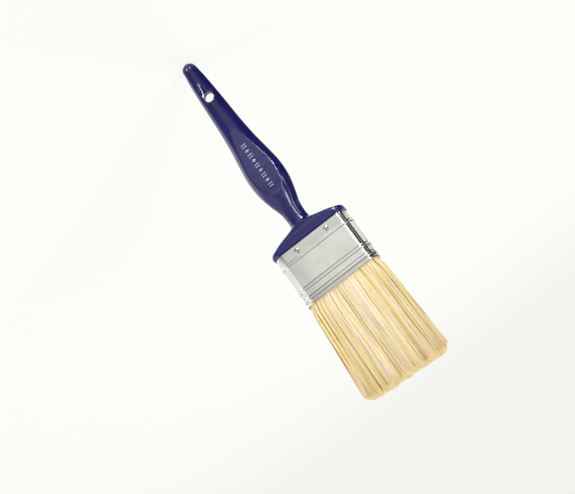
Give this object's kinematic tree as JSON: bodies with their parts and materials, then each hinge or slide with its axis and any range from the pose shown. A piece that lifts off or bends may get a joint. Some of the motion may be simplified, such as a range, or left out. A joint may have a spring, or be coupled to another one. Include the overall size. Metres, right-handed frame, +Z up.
{
  "type": "paint brush",
  "caption": "Flat paint brush: moulded handle with a hang hole, beaded steel ferrule held by nails, and blond filaments set in resin round a spacer plug.",
  "frame": {"origin": "the handle's hang end, which is the bottom centre of the brush's box", "axes": "+Z up the brush from the hang end to the filament tips, +X across its width, +Y through its thickness; the front face looks towards -Y and the lock seam is on the -X edge"},
  "size_m": [0.057, 0.0162, 0.228],
  "materials": {
    "navy_plastic": "smooth glossy moulding",
    "plated_steel": "bright nickel plating with faint rolling marks",
    "nail_steel": "plated, slightly dull",
    "amber_resin": "cast epoxy",
    "plug_wood": "sawn, unfinished",
    "blond_filament": "bundled tapered filaments, satin"
  },
  "bodies": {
    "held": {"handle": "navy_plastic", "ferrule": "plated_steel", "front_left_nail": "nail_steel", "front_right_nail": "nail_steel", "back_left_nail": "nail_steel", "back_right_nail": "nail_steel", "resin_setting": "amber_resin", "spacer_plug": "plug_wood", "front_filament_roots": "blond_filament", "back_filament_roots": "blond_filament"},
    "bristles": {"front_filaments": "blond_filament", "back_filaments": "blond_filament"}
  },
  "joints": [
    {"name": "bristle_flex", "type": "hinge", "parent": "held", "child": "bristles", "pos_m": [0, 0, 0.167], "axis": [1, 0, 0], "range_deg": [-35, 35], "stiffness_Nm_per_rad": 0.25}
  ]
}
